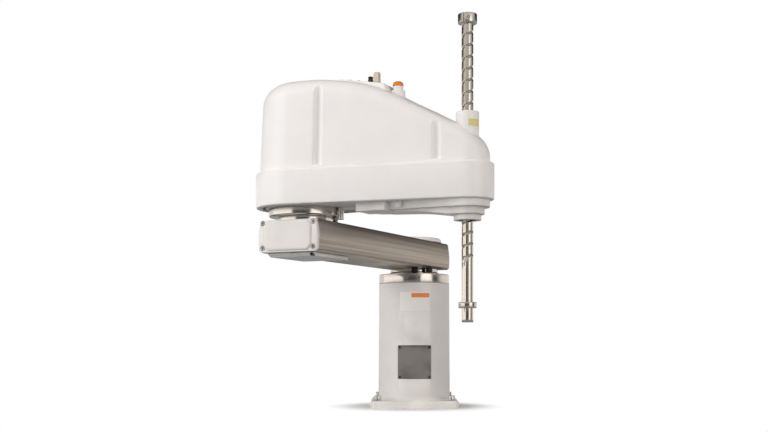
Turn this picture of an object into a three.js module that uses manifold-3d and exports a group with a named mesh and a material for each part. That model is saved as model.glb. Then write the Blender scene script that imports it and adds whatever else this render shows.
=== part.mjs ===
// SCARA robot arm: a round base column, a box beam as the first arm, a covered second arm, and a
// hollow ball-screw-spline shaft that lifts and turns at its end.
// Millimetres, +Z up. The origin is the centre of the foot's underside, on the axis of joint 1.
// The arms are drawn straight and then turned to their rest angles by nested groups.

import * as THREE from 'three';
import { mergeVertices } from 'three/addons/utils/BufferGeometryUtils.js';
import Module from 'manifold-3d';

const wasm = await Module();
wasm.setup();

// Driving dimensions
const GAP = 0.3;                      // between pieces that touch on the real machine
const ARM_1_LENGTH = 600;             // joint 1 axis to joint 2 axis
const ARM_2_LENGTH = 400;             // joint 2 axis to shaft axis
const ARM_1_HEADING = -115.32;        // degrees from +X, at rest
const ARM_2_HEADING = 90;             // degrees from arm 1, at rest

const FOOT = { side: 240, height: 21, corner: 14, boltPitch: 200, boltHole: 7 };
const COLUMN = { bottomRadius: 99.5, topRadius: 98, bore: 84, top: 341.8 };
const PANEL = { width: 90, bottom: 80, top: 171, land: -87.5, thickness: 2.5 };
const REAR = { width: 120, bottom: 70, top: 200, land: 80 };
const J1_RING = { radius: 98, bore: 70, top: 367.2, spigotBottom: 322 };
const J1_HUB = { radius: 66, bore: 30, top: 382.9 };
const J1_STOP_RADIUS = 85;

const BEAM = { bottom: 383.2, top: 456.5, start: -68, end: 671.8, wall: 8 };
const BEAM_HALF = { foot: 70, bevel: 76, bulge: 80.5, shoulder: 73.2, top: 69 };
const BEAM_BEVEL = 4;
const CAP = { plate: 8, pad: 4, screwY: 65.5, screwLow: 394, screwHigh: 449.5, sink: 4.1 };
const CAP_SCREW = { head: 5, height: 4, shank: 2.8, length: 12, hole: 3.2, counterbore: 6.1 };
const UNDER_COVER = { start: 500, end: 667, half: 60, bottom: 374.4 };
const J2_STOP = { radius: 92, angle: 18.5, size: 7 };

const J2_RIM = { radius: 84, bottom: 467.3, top: 486.3, bore: 40 };
const J2_HUB_RADIUS = 62.5;

const SKIRT = { j2Radius: 113, j3Radius: 57.5, bottom: 486.3, top: 565.2, wall: 4 };
const SHELL = { j2Radius: 104, j3Radius: 48.8, bottom: 565.5, top: 790, draft: 11, wall: 4 };
const SLEEVE = { radius: 24.75, bore: 17, bottom: 604, top: 675 };
const TOP_LINE = [[60, 771], [100, 767], [145, 760], [190, 748], [238, 728], [283, 704],
  [328, 681], [372, 657], [416, 631], [443, 611]];
const CHANNEL = { radius: 12, wall: 4, outset: 6, start: 6, end: 225, spots: [[83, 93.5], [350, 58]] };
const ROOF_PLATE = { start: [100, 770.6], end: [212, 751], foot: [218, 742], width: 56 };
const LAMP = { x: 235.5, radius: 16.1, step: 736.3, neck: 11.2, seatTop: 746, lensRadius: 11.9, top: 757.4 };
const PLUG = { x: 183, half: 6.6, top: 782.7 };
const FITTING = { x: 167.4, radius: 5.8, top: 775 };

const FRAME = { j2Radius: 92, j3Radius: 48.4, bottom: 486.8, top: 498 };
const DECK = { bottom: 560, top: 568 };

const SHAFT = { radius: 12.5, bore: 9, bottom: 224.6, top: 886.6 };
const LOWER_COLLAR = { radius: 19.75, bottom: 255.1, top: 267.9 };
const UPPER_COLLAR = { radius: 20.5, bottom: 864, top: 884.2 };
const RUNNING = 12.6;                 // bore radius that runs on the shaft
const PULLEY_BORE = 13.5;             // clear of the shaft
const GUARD = { radius: 29.7, bottom: 442.7, top: 454.7 };

const U_STAGE = { motorX: 285, bottom: 505, top: 519, nutPulley: 30, motorPulley: 12 };
const Z_STAGE = { motorX: 175, bottom: 540, top: 555.6, nutPulley: 28, motorPulley: 16 };

// Finishes
const finishes = {
  whitePaint: { color: 0xe4e2dc, roughness: 0.45, metalness: 0 },
  whitePlastic: { color: 0xebe9e4, roughness: 0.4, metalness: 0 },
  rawAluminium: { color: 0x9c9188, roughness: 0.4, metalness: 0.9 },
  machinedAluminium: { color: 0xb9babb, roughness: 0.35, metalness: 0.9 },
  polishedSteel: { color: 0xd8d8d6, roughness: 0.12, metalness: 1 },
  darkSteel: { color: 0x39393a, roughness: 0.45, metalness: 0.8 },
  greyPanel: { color: 0x77716c, roughness: 0.55, metalness: 0.2 },
  blackPlastic: { color: 0x1c1c1e, roughness: 0.5, metalness: 0 },
  beigePlastic: { color: 0xb8ad9c, roughness: 0.5, metalness: 0 },
  blackRubber: { color: 0x171717, roughness: 0.9, metalness: 0 },
  amberLens: { color: 0xe87a10, roughness: 0.15, metalness: 0 },
};

// Shape helpers

const radians = THREE.MathUtils.degToRad;

function box(x0, x1, y0, y1, z0, z1) {
  const shape = new THREE.BoxGeometry(x1 - x0, y1 - y0, z1 - z0);
  return shape.translate((x0 + x1) / 2, (y0 + y1) / 2, (z0 + z1) / 2);
}

// A solid of revolution about Z. The profile is [radius, z] pairs, anticlockwise.
function turned(profile, segments = 32) {
  const points = profile.map(([radius, z]) => new THREE.Vector2(radius, z));
  return new THREE.LatheGeometry(points, segments).rotateX(Math.PI / 2);
}

function rod(radius, z0, z1, segments = 32) {
  return turned([[0, z0], [radius, z0], [radius, z1], [0, z1]], segments);
}

function tube(radius, bore, z0, z1, segments = 32) {
  return turned([[bore, z0], [radius, z0], [radius, z1], [bore, z1], [bore, z0]], segments);
}

function slab(shape, z0, z1, curveSegments = 12) {
  const options = { depth: z1 - z0, bevelEnabled: false, curveSegments };
  return new THREE.ExtrudeGeometry(shape, options).translate(0, 0, z0);
}

// Turns a shape drawn in the plane of Y and Z, extruded along +Z, so that it runs along +X.
function alongX(geometry) {
  const [x, y, z] = [new THREE.Vector3(1, 0, 0), new THREE.Vector3(0, 1, 0), new THREE.Vector3(0, 0, 1)];
  return geometry.applyMatrix4(new THREE.Matrix4().makeBasis(y, z, x));
}

// Turns a shape drawn in the plane of X and Z, extruded along +Z, so that it spans Y evenly.
function acrossY(shape, width) {
  return slab(shape, -width / 2, width / 2).rotateX(Math.PI / 2);
}

function roundedRectangle(width, height, corner) {
  const [w, h] = [width / 2, height / 2];
  const shape = new THREE.Shape();
  shape.absarc(w - corner, corner - h, corner, -Math.PI / 2, 0, false);
  shape.absarc(w - corner, h - corner, corner, 0, Math.PI / 2, false);
  shape.absarc(corner - w, h - corner, corner, Math.PI / 2, Math.PI, false);
  shape.absarc(corner - w, corner - h, corner, Math.PI, 1.5 * Math.PI, false);
  return shape;
}

// Two round ends of different radius, on X, joined by their tangents: a belt or an arm from above.
function taperedOutline(radius0, radius1, x0, x1) {
  const angle = Math.acos((radius0 - radius1) / (x1 - x0));
  const shape = new THREE.Shape();
  shape.absarc(x1, 0, radius1, -angle, angle, false);
  shape.absarc(x0, 0, radius0, angle, 2 * Math.PI - angle, false);
  return shape;
}

function polygon(points) {
  return new THREE.Shape(points.map(([x, y]) => new THREE.Vector2(x, y)));
}

function solid(geometry) {
  const bare = geometry.clone();
  bare.deleteAttribute('normal');
  bare.deleteAttribute('uv');
  const merged = mergeVertices(bare, 1e-4);
  const vertProperties = new Float32Array(merged.attributes.position.array);
  const triVerts = new Uint32Array(merged.index.array);
  return new wasm.Manifold(new wasm.Mesh({ numProp: 3, vertProperties, triVerts }));
}

function geometryOf(manifold) {
  const mesh = manifold.getMesh();
  const geometry = new THREE.BufferGeometry();
  geometry.setAttribute('position', new THREE.BufferAttribute(mesh.vertProperties, 3));
  geometry.setIndex(new THREE.BufferAttribute(mesh.triVerts, 1));
  return geometry;
}

function joined(...pieces) {
  return geometryOf(pieces.map(solid).reduce((body, piece) => body.add(piece)));
}

function cut(body, ...tools) {
  return geometryOf(tools.map(solid).reduce((rest, tool) => rest.subtract(tool), solid(body)));
}

function overlap(a, b) {
  return geometryOf(solid(a).intersect(solid(b)));
}

function add(group, name, geometry, finish) {
  const mesh = new THREE.Mesh(geometry, new THREE.MeshStandardMaterial(finishes[finish]));
  mesh.name = name;
  group.add(mesh);
}

// A cap screw along Z: a hexagon-socket head from z up, and a shank below it.
function capScrew(headRadius, headHeight, shankRadius, shankLength, z) {
  return turned([[0, z - shankLength], [shankRadius, z - shankLength], [shankRadius, z],
    [headRadius, z], [headRadius, z + headHeight], [headRadius * 0.5, z + headHeight],
    [headRadius * 0.5, z + headHeight * 0.45], [0, z + headHeight * 0.45]], 10);
}

function placeAt(geometry, x) {
  return geometry.translate(x, 0, 0);
}

function fourCorners(halfX, halfY) {
  return [[-halfX, -halfY], [halfX, -halfY], [halfX, halfY], [-halfX, halfY]];
}

// A servo motor along Z: a square body with chamfered corners, a round encoder end, and a bore at
// the drive end for its shaft. up is 1 when the drive end is at the top.
function servoMotor(side, length, driveZ, bore, up) {
  const body = slab(roundedRectangle(side, side, side * 0.12), 0, length * 0.68, 2);
  const encoder = rod(side * 0.44, length * 0.68 - 1, length, 24);
  const motor = cut(joined(body, encoder), rod(bore, -1, length * 0.3, 24));
  if (up > 0) motor.rotateX(Math.PI);
  return motor.translate(0, 0, driveZ);
}

// Base

function baseCasting() {
  const foot = slab(roundedRectangle(FOOT.side, FOOT.side, FOOT.corner), 0, FOOT.height, 4);
  const { bottomRadius, topRadius, bore, top } = COLUMN;
  const column = turned([[bore, FOOT.height - 1], [bottomRadius, FOOT.height - 1],
    [topRadius, top], [bore, top], [bore, FOOT.height - 1]], 48);
  const half = PANEL.width / 2 + 0.5;
  const pocket = box(-half, half, -110, PANEL.land, PANEL.bottom - 0.5, PANEL.top + 0.5);
  const window = box(-33, 33, -110, -40, PANEL.bottom + 12, PANEL.top - 12);
  const rearHalf = REAR.width / 2 + 0.5;
  const rearPocket = box(-rearHalf, rearHalf, REAR.land, 110, REAR.bottom - 0.5, REAR.top + 0.5);
  const rearWindow = box(-22, 22, 40, 110, REAR.bottom + 15, REAR.top - 15);
  const pitch = FOOT.boltPitch / 2;
  const holes = fourCorners(pitch, pitch).map(([x, y]) => rod(FOOT.boltHole, -1, 30, 16).translate(x, y, 0));
  return cut(joined(foot, column), pocket, window, rearPocket, rearWindow, ...holes);
}

function accessPanel() {
  const half = PANEL.width / 2;
  const outer = PANEL.land - GAP - PANEL.thickness;
  const plate = box(-half, half, outer, PANEL.land - GAP, PANEL.bottom, PANEL.top);
  return cut(plate, ...panelScrewSpots().map(([x, z]) => acrossRod(2.4, outer - 1, PANEL.land, x, z)));
}

function panelScrewSpots() {
  const [x, middle, half] = [PANEL.width / 2 - 5, (PANEL.bottom + PANEL.top) / 2, 40.5];
  return fourCorners(x, half).map(([dx, dz]) => [dx, middle + dz]);
}

// A rod along Y from y0 to y1, at (x, z).
function acrossRod(radius, y0, y1, x, z, segments = 12) {
  return rod(radius, -y1, -y0, segments).rotateX(Math.PI / 2).translate(x, 0, z);
}

function addFootBolts(group) {
  const pitch = FOOT.boltPitch / 2;
  fourCorners(pitch, pitch).forEach(([x, y], i) => {
    const bolt = capScrew(9.5, 14, 6, 19, FOOT.height + GAP).translate(x, y, 0);
    add(group, `foot_bolt_${i + 1}`, bolt, 'darkSteel');
  });
}

function rearConnectorPlate() {
  const half = REAR.width / 2;
  const plate = box(-half, half, REAR.land + GAP, REAR.land + 3, REAR.bottom, REAR.top);
  const trimmed = overlap(plate, rod(97, REAR.bottom - 1, REAR.top + 1, 48));
  const [power, signal] = connectorSpots();
  return cut(trimmed, acrossRod(12.3, 70, 90, 0, power, 24), acrossRod(12.3, 70, 90, 0, signal, 24));
}

function connectorSpots() {
  return [REAR.bottom + 35, REAR.top - 35];
}

function rearConnector(z) {
  const back = REAR.land + 3 + GAP;
  const flange = box(-17, 17, back, back + 4, z - 17, z + 17);
  const barrel = acrossRod(12, REAR.land - 6, back + 22, 0, z, 24);
  return cut(joined(flange, barrel), acrossRod(9, back + 6, back + 30, 0, z, 24));
}

function j1Ring() {
  const { radius, bore, top, spigotBottom } = J1_RING;
  const seat = COLUMN.top + GAP;
  const spigot = COLUMN.bore - GAP;
  return turned([[bore, spigotBottom], [spigot, spigotBottom], [spigot, seat], [radius - 1, seat],
    [radius, seat + 1], [radius, top - 1], [radius - 1, top], [bore, top], [bore, spigotBottom]], 48);
}

function j1Reducer() {
  return tube(J1_RING.bore - GAP, J1_HUB.bore - 12, 332, 366.8);
}

function j1MotorPlate() {
  return cut(rod(J1_RING.bore - GAP, 324, 331.7), rod(14, 320, 335, 24));
}

function j1StopBlock() {
  const block = box(J1_STOP_RADIUS - 9, J1_STOP_RADIUS + 9, -10, 10, J1_RING.top + GAP, 380);
  return block.rotateZ(radians(129.3));
}

function buildBase() {
  const base = new THREE.Group();
  add(base, 'base_casting', baseCasting(), 'whitePaint');
  add(base, 'access_panel', accessPanel(), 'greyPanel');
  addFootBolts(base);
  const [power, signal] = connectorSpots();
  add(base, 'rear_connector_plate', rearConnectorPlate(), 'machinedAluminium');
  add(base, 'power_connector', rearConnector(power), 'blackPlastic');
  add(base, 'signal_connector', rearConnector(signal), 'blackPlastic');
  add(base, 'j1_bearing_ring', j1Ring(), 'polishedSteel');
  add(base, 'j1_reducer', j1Reducer(), 'darkSteel');
  add(base, 'j1_motor_plate', j1MotorPlate(), 'machinedAluminium');
  add(base, 'j1_motor', servoMotor(86, 150, 323.7, 8, 1), 'blackPlastic');
  add(base, 'j1_stop_block', j1StopBlock(), 'darkSteel');
  return base;
}

// Arm 1, drawn along +X from the joint 1 axis

function beamSection(inset) {
  const { foot, bevel, bulge, shoulder, top } = BEAM_HALF;
  const [low, high] = [BEAM.bottom + inset, BEAM.top - inset];
  const shape = new THREE.Shape();
  shape.moveTo(inset - foot, low);
  shape.lineTo(foot - inset, low);
  shape.lineTo(bevel - inset, low + BEAM_BEVEL);
  shape.quadraticCurveTo(bulge - inset, 415, shoulder - inset, high - 4);
  shape.quadraticCurveTo(shoulder - inset - 0.5, high, top - inset, high);
  shape.lineTo(inset - top, high);
  shape.quadraticCurveTo(inset + 0.5 - shoulder, high, inset - shoulder, high - 4);
  shape.quadraticCurveTo(inset - bulge, 415, inset - bevel, low + BEAM_BEVEL);
  return shape;
}

function capScrewSpots() {
  const { screwY, screwLow, screwHigh } = CAP;
  return [[-screwY, screwLow], [screwY, screwLow], [screwY, screwHigh], [-screwY, screwHigh]];
}

// A rod along X from x0 to x1, at (y, z).
function alongRod(radius, x0, x1, y, z, segments = 12) {
  return rod(radius, x0, x1, segments).rotateY(Math.PI / 2).translate(0, y, z);
}

function armBeam() {
  const { start, end, wall, bottom, top } = BEAM;
  const outer = alongX(slab(beamSection(0), start, end, 6));
  const hollow = alongX(slab(beamSection(wall), start - 1, end + 1, 6));
  const cableIn = rod(J1_HUB.bore, bottom - 1, bottom + wall + 1, 24);
  const cableOut = rod(30, top - wall - 1, top + 1, 24).translate(ARM_1_LENGTH, 0, 0);
  const { hole, length } = CAP_SCREW;
  const tapped = capScrewSpots().map(([y, z]) => alongRod(hole, end - length, end + 1, y, z, 8));
  return cut(outer, hollow, cableIn, cableOut, ...tapped);
}

// The plate that closes the joint 2 end of the beam, with a raised pad between its screws.
function frontCap() {
  const start = BEAM.end + GAP;
  const face = start + CAP.plate;
  const plate = alongX(slab(beamSection(0.4), start, face, 6));
  const pad = new THREE.ExtrudeGeometry(roundedRectangle(114, 60, 12), {
    depth: 1, bevelThickness: CAP.pad - 1, bevelSize: 4, bevelSegments: 3, curveSegments: 4,
  });
  alongX(pad.translate(0, 0, face)).translate(0, 0, (BEAM.bottom + BEAM.top) / 2 + 1);
  const kept = overlap(pad, box(face - 2, face + 20, -100, 100, 300, 500));
  const { hole, counterbore } = CAP_SCREW;
  const holes = capScrewSpots().flatMap(([y, z]) => [alongRod(hole, start - 1, face + 1, y, z, 8),
    alongRod(counterbore, face - CAP.sink, face + 10, y, z, 16)]);
  return cut(joined(plate, kept), ...holes);
}

function addFrontCapScrews(group) {
  const seat = BEAM.end + GAP + CAP.plate - CAP.sink + GAP;
  const { head, height, shank, length } = CAP_SCREW;
  capScrewSpots().forEach(([y, z], i) => {
    const screw = capScrew(head, height, shank, length, seat).rotateY(Math.PI / 2).translate(0, y, z);
    add(group, `front_cap_screw_${i + 1}`, screw, 'polishedSteel');
  });
}

function rearCap() {
  const end = BEAM.start - GAP;
  return alongX(slab(beamSection(0.4), end - 5, end, 6));
}

function underCover() {
  const { start, end, half, bottom } = UNDER_COVER;
  const top = BEAM.bottom - GAP;
  const profile = polygon([[start, top], [start + 8, bottom], [end - 10, bottom], [end, bottom + 7],
    [end, top]]);
  return acrossY(profile, 2 * half);
}

function j1Hub() {
  const { radius, bore, top } = J1_HUB;
  const bottom = J1_RING.top + GAP;
  return turned([[bore, bottom], [radius + 4, bottom], [radius + 4, bottom + 3], [radius, bottom + 5],
    [radius, top], [bore, top], [bore, bottom]], 36);
}

function j1TopCap() {
  const [bottom, top] = [BEAM.top + GAP, 469];
  return turned([[0, bottom], [76, bottom], [76, bottom + 5], [72, top - 1.5], [67, top], [0, top]], 36);
}

function j2Hub() {
  return placeAt(tube(J2_HUB_RADIUS, 30.2, BEAM.top + GAP, J2_RIM.bottom - GAP), ARM_1_LENGTH);
}

function addJ1StopBolts(group) {
  [-90, -62].forEach((heading, i) => {
    const bolt = rod(8.5, J1_RING.top + 2.5, BEAM.bottom - GAP, 16).translate(J1_STOP_RADIUS, 0, 0);
    add(group, `j1_stop_bolt_${i + 1}`, bolt.rotateZ(radians(heading - ARM_1_HEADING)), 'blackRubber');
  });
}

function addJ2StopPosts(group) {
  const { radius, angle, size } = J2_STOP;
  [180 - angle, 180 + angle].forEach((heading, i) => {
    const post = rod(size, BEAM.top + GAP, 483, 16).translate(radius, 0, 0).rotateZ(radians(heading));
    add(group, `j2_stop_post_${i + 1}`, post.translate(ARM_1_LENGTH, 0, 0), 'polishedSteel');
  });
}

function buildArm1() {
  const arm = new THREE.Group();
  arm.rotation.z = radians(ARM_1_HEADING);
  add(arm, 'j1_output_hub', j1Hub(), 'polishedSteel');
  addJ1StopBolts(arm);
  add(arm, 'arm_1_beam', armBeam(), 'rawAluminium');
  add(arm, 'arm_1_front_cap', frontCap(), 'whitePaint');
  addFrontCapScrews(arm);
  add(arm, 'arm_1_rear_cap', rearCap(), 'whitePaint');
  add(arm, 'arm_1_under_cover', underCover(), 'whitePaint');
  add(arm, 'j1_top_cap', j1TopCap(), 'whitePlastic');
  add(arm, 'j2_fixed_hub', j2Hub(), 'polishedSteel');
  addJ2StopPosts(arm);
  return arm;
}

// Arm 2, drawn along +X from the joint 2 axis

// The cast frame: a plate inside the skirt, a box below it, and a spine that deepens to the nut.
function arm2Frame() {
  const { j2Radius, j3Radius, bottom, top } = FRAME;
  const plate = slab(taperedOutline(j2Radius, j3Radius, 0, ARM_2_LENGTH), bottom, top, 14);
  const rib = slab(taperedOutline(44, j3Radius, 205, ARM_2_LENGTH), 470, bottom + 1, 12);
  const rounded = taperedOutline(30, 37, 235, ARM_2_LENGTH);
  const keel = slab(rounded, 455, 471, 12);
  const wedge = polygon([[200, 480], [200, 470.5], [300, 464], [ARM_2_LENGTH - 30, 455], [450, 455],
    [450, 480]]);
  const spine = overlap(keel, acrossY(wedge, 120));
  const block = box(160, 232, -60, 8, 468, bottom + 1);
  const bosses = [-1, 1].flatMap((side) => [[253, 267, 48], [395, 408, 44]].map(([x0, x1, y]) => (
    box(x0, x1, side * y - 4, side * y + 4, 473.6, bottom + 1))));
  const nutBore = rod(25.4, 450, 500);
  const reducerBore = rod(24, 480, 500, 24);
  return cut(joined(plate, rib, spine, block, ...bosses), nutBore.translate(ARM_2_LENGTH, 0, 0), reducerBore);
}

function j2Rim() {
  const { radius, bottom, top, bore } = J2_RIM;
  return turned([[bore, bottom], [radius - 2, bottom], [radius, bottom + 2], [radius, top], [bore, top],
    [bore, bottom]], 44);
}

function j2StopPin() {
  const { radius, size } = J2_STOP;
  return rod(size, 459, J2_RIM.top, 16).translate(radius, 0, 0);
}

// Narrows the top of an upright extrusion of a tapered outline by draft, all round.
function drafted(radius0, radius1, z0, z1, draft) {
  const geometry = slab(taperedOutline(radius0, radius1, 0, ARM_2_LENGTH), z0, z1, 12);
  const place = geometry.attributes.position;
  for (let i = 0; i < place.count; i++) {
    const [x, y] = [place.getX(i), place.getY(i)];
    const atJ2 = Math.abs(Math.hypot(x, y) - radius0) < 0.01;
    const [centre, radius] = atJ2 ? [0, radius0] : [ARM_2_LENGTH, radius1];
    const keep = 1 - draft / radius;
    if (place.getZ(i) > z0 + 1) place.setXY(i, centre + (x - centre) * keep, y * keep);
  }
  return geometry;
}

function skirt() {
  const { j2Radius, j3Radius, bottom, top, wall } = SKIRT;
  const outer = slab(taperedOutline(j2Radius, j3Radius, 0, ARM_2_LENGTH), bottom, top, 12);
  const inside = taperedOutline(j2Radius - wall, j3Radius - wall, 0, ARM_2_LENGTH);
  const room = slab(inside, bottom - 1, top - wall, 12);
  const mouth = slab(taperedOutline(j2Radius - 14, j3Radius - 14, 0, ARM_2_LENGTH), bottom, top + 1, 12);
  return cut(outer, room, mouth);
}

// The side view of the top cover's roof, lowered by inset.
function roofShape(inset) {
  const end = SHELL.bottom - 5;
  const crest = TOP_LINE.map(([x, z]) => [x, z - inset]);
  return polygon([[-130, end], [470, end], [458, 570], [450 - inset, 592 - inset], ...crest.reverse(),
    [-50, 771 - inset], [-84 + inset, 748 - inset], [-130, 700 - inset]]);
}

// Rods along the cover's drafted wall, where its screw channels run. Low is their start below.
function channelRods(radius, low) {
  const tilt = Math.atan(SHELL.draft / (SHELL.top - SHELL.bottom));
  return [-1, 1].flatMap((side) => CHANNEL.spots.map(([x, y]) => rod(radius, low, CHANNEL.end, 16)
    .rotateX(side * tilt).translate(x, side * (y + CHANNEL.outset), SHELL.bottom)));
}

function topCover() {
  const { j2Radius, j3Radius, bottom, top, draft, wall } = SHELL;
  const outer = overlap(drafted(j2Radius, j3Radius, bottom, top, draft), acrossY(roofShape(0), 300));
  const core = drafted(j2Radius - wall, j3Radius - wall, bottom, top, draft);
  const inside = taperedOutline(j2Radius - wall, j3Radius - wall, 0, ARM_2_LENGTH);
  const floor = slab(inside, bottom - 1, bottom + 1, 12);
  const room = overlap(joined(core, floor), acrossY(roofShape(wall), 300));
  const linings = channelRods(CHANNEL.radius + CHANNEL.wall, CHANNEL.start - CHANNEL.wall);
  const sleeveHole = rod(SLEEVE.radius + GAP, 600, 800).translate(ARM_2_LENGTH, 0, 0);
  return cut(outer, cut(room, ...linings), sleeveHole, ...channelRods(CHANNEL.radius, CHANNEL.start));
}

function shaftSleeve() {
  const { radius, bore, bottom, top } = SLEEVE;
  const lip = 3;
  return turned([[bore, bottom], [radius, bottom], [radius, top - lip], [radius - lip, top], [bore, top],
    [bore, bottom]]).translate(ARM_2_LENGTH, 0, 0);
}

// The roof as a tool that leaves GAP above it.
function roofTool() {
  return acrossY(roofShape(-GAP), 300);
}

// A raised plate, flatter than the roof, that carries the user connectors.
function roofPlate() {
  const { start, end, foot, width } = ROOF_PLATE;
  const side = polygon([[start[0], 720], [foot[0], 720], foot, end, start]);
  return cut(acrossY(side, width), roofTool());
}

// The height of the plate's top.
function plateTop(x) {
  const [[x0, z0], [x1, z1]] = [ROOF_PLATE.start, ROOF_PLATE.end];
  return z0 + (z1 - z0) * (x - x0) / (x1 - x0);
}

// What stands on the plate, cut GAP above its sloping top.
function onPlate(shape, x) {
  const slope = Math.atan(plateTop(1) - plateTop(0));
  const tool = box(-60, 60, -60, 60, -60, 0).rotateY(-slope).translate(x, 0, plateTop(x) + GAP);
  return cut(shape.translate(x, 0, 0), tool);
}

function addRoofFittings(group) {
  const { radius, step, neck, seatTop, lensRadius, top } = LAMP;
  const seat = turned([[0, 700], [radius, 700], [radius, step], [neck, step], [neck, seatTop], [0, seatTop]],
    24);
  add(group, 'lamp_base', cut(seat.translate(LAMP.x, 0, 0), roofTool()), 'whitePlastic');
  const foot = seatTop + GAP;
  const lens = turned([[0, foot], [lensRadius, foot], [lensRadius, foot + 5], [lensRadius - 2, top - 3.5],
    [lensRadius - 6, top - 0.7], [0, top]], 24);
  add(group, 'lamp_lens', lens.translate(LAMP.x, 0, 0), 'amberLens');
  const { half } = PLUG;
  const plug = joined(box(-half, half, -half, half, 700, PLUG.top - 4),
    box(-half + 2, half, -half + 1, half - 1, PLUG.top - 5, PLUG.top));
  add(group, 'user_connector', onPlate(plug, PLUG.x), 'beigePlastic');
  const fitting = joined(rod(FITTING.radius, 700, FITTING.top - 5, 12),
    rod(FITTING.radius - 1.2, FITTING.top - 6, FITTING.top, 12));
  add(group, 'air_fitting', onPlate(fitting, FITTING.x), 'blackPlastic');
}

// The deck holds the screw-nut bearing and both lift and turn motors, on legs from the frame.
function deck() {
  const plate = slab(taperedOutline(58, 41, 150, ARM_2_LENGTH), DECK.bottom, DECK.top);
  const legs = [-1, 1].flatMap((side) => [
    box(345, 398, side * 38 - 3, side * 38 + 3, FRAME.top + GAP, DECK.bottom + 1),
    box(150, 165, side * 50 - 4, side * 50 + 4, FRAME.top + GAP, DECK.bottom + 1)]);
  const holes = [placeAt(rod(31.4, 550, 580), ARM_2_LENGTH), placeAt(rod(9, 550, 580, 24), Z_STAGE.motorX),
    placeAt(rod(7, 550, 580, 24), U_STAGE.motorX)];
  return cut(joined(plate, ...legs), ...holes);
}

// A toothed belt's outer form, as a loop round two pulleys.
function belt(stage) {
  const { motorX, nutPulley, motorPulley, bottom, top } = stage;
  const outline = (extra) => taperedOutline(motorPulley + extra, nutPulley + extra, motorX, ARM_2_LENGTH);
  const loop = outline(2.6);
  loop.holes.push(outline(GAP));
  return slab(loop, bottom + 3, top - 3, 10);
}

// A flanged pulley about Z. Its bore is left open when bore is not zero.
function pulley(radius, bore, bottom, top) {
  const rim = radius + 1.8;
  return turned([[bore, bottom], [rim, bottom], [rim, bottom + 1.5], [radius, bottom + 2.5],
    [radius, top - 2.5], [rim, top - 1.5], [rim, top], [bore, top], ...(bore ? [[bore, bottom]] : [])], 24);
}

// A motor pulley with the rotor shaft that carries it up into the motor.
function motorPulley(stage, shaftRadius, shaftTop) {
  const { motorPulley: radius, bottom, top } = stage;
  return joined(pulley(radius, 0, bottom, top), rod(shaftRadius, top - 1, shaftTop, 24));
}

function addDrives(group) {
  const motorZ = DECK.top + GAP;
  add(group, 'drive_deck', deck(), 'machinedAluminium');
  add(group, 'z_motor', placeAt(servoMotor(60, 125, motorZ, 7.6, -1), Z_STAGE.motorX), 'blackPlastic');
  add(group, 'u_motor', placeAt(servoMotor(46, 95, motorZ, 5.6, -1), U_STAGE.motorX), 'blackPlastic');
  add(group, 'z_belt', belt(Z_STAGE), 'blackRubber');
  add(group, 'u_belt', belt(U_STAGE), 'blackRubber');
  const rotorTop = motorZ + 25;
  const zRotor = placeAt(motorPulley(Z_STAGE, 7, rotorTop), Z_STAGE.motorX);
  const uRotor = placeAt(motorPulley(U_STAGE, 5, rotorTop), U_STAGE.motorX);
  add(group, 'z_motor_pulley', zRotor, 'machinedAluminium');
  add(group, 'u_motor_pulley', uRotor, 'machinedAluminium');
  add(group, 'j2_reducer', tube(60, 24, FRAME.top + GAP, 530), 'darkSteel');
  add(group, 'j2_motor', servoMotor(80, 140, 530 + GAP, 8, -1), 'blackPlastic');
}

function addShaftSet(group) {
  const at = (geometry) => placeAt(geometry, ARM_2_LENGTH);
  const { nutPulley, bottom, top } = Z_STAGE;
  add(group, 'screw_nut_pulley', at(pulley(nutPulley, PULLEY_BORE, bottom, top)), 'machinedAluminium');
  add(group, 'screw_nut', at(tube(23, RUNNING, top + GAP, 598, 40)), 'polishedSteel');
  add(group, 'screw_nut_bearing', at(tube(31.1, 23.1, DECK.bottom, DECK.top + 4, 40)), 'polishedSteel');
  add(group, 'spline_nut', at(tube(18, RUNNING, 456, U_STAGE.bottom - GAP, 40)), 'polishedSteel');
  add(group, 'spline_pulley', at(pulley(U_STAGE.nutPulley, PULLEY_BORE, U_STAGE.bottom, U_STAGE.top)),
    'machinedAluminium');
  add(group, 'spline_nut_bearing', at(tube(25.1, 18.1, 457, 496, 40)), 'polishedSteel');
  const guard = turned([[20, GUARD.bottom], [GUARD.radius, GUARD.bottom], [GUARD.radius, GUARD.top],
    [20, GUARD.top], [20, GUARD.bottom]]);
  add(group, 'nut_guard', at(guard), 'whitePaint');
  add(group, 'shaft_wiper', at(tube(19.7, RUNNING + 0.3, GUARD.bottom + 2, GUARD.bottom + 8)), 'blackRubber');
  add(group, 'shaft', at(tube(SHAFT.radius, SHAFT.bore, SHAFT.bottom, SHAFT.top)), 'polishedSteel');
  [['lower_stop_collar', LOWER_COLLAR], ['upper_stop_collar', UPPER_COLLAR]].forEach(([name, collar]) => {
    add(group, name, at(tube(collar.radius, SHAFT.radius + 0.1, collar.bottom, collar.top)), 'polishedSteel');
  });
}

function buildArm2() {
  const arm = new THREE.Group();
  arm.position.x = ARM_1_LENGTH;
  arm.rotation.z = radians(ARM_2_HEADING);
  add(arm, 'j2_rim', j2Rim(), 'polishedSteel');
  add(arm, 'j2_stop_pin', j2StopPin(), 'polishedSteel');
  add(arm, 'arm_2_frame', arm2Frame(), 'whitePaint');
  add(arm, 'arm_2_skirt', skirt(), 'whitePlastic');
  add(arm, 'arm_2_top_cover', topCover(), 'whitePlastic');
  add(arm, 'shaft_sleeve', shaftSleeve(), 'whitePlastic');
  add(arm, 'roof_plate', roofPlate(), 'whitePlastic');
  addRoofFittings(arm);
  addDrives(arm);
  addShaftSet(arm);
  return arm;
}

const robot = new THREE.Group();
const arm1 = buildArm1();
arm1.add(buildArm2());
robot.add(buildBase(), arm1);

export default robot;
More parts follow.
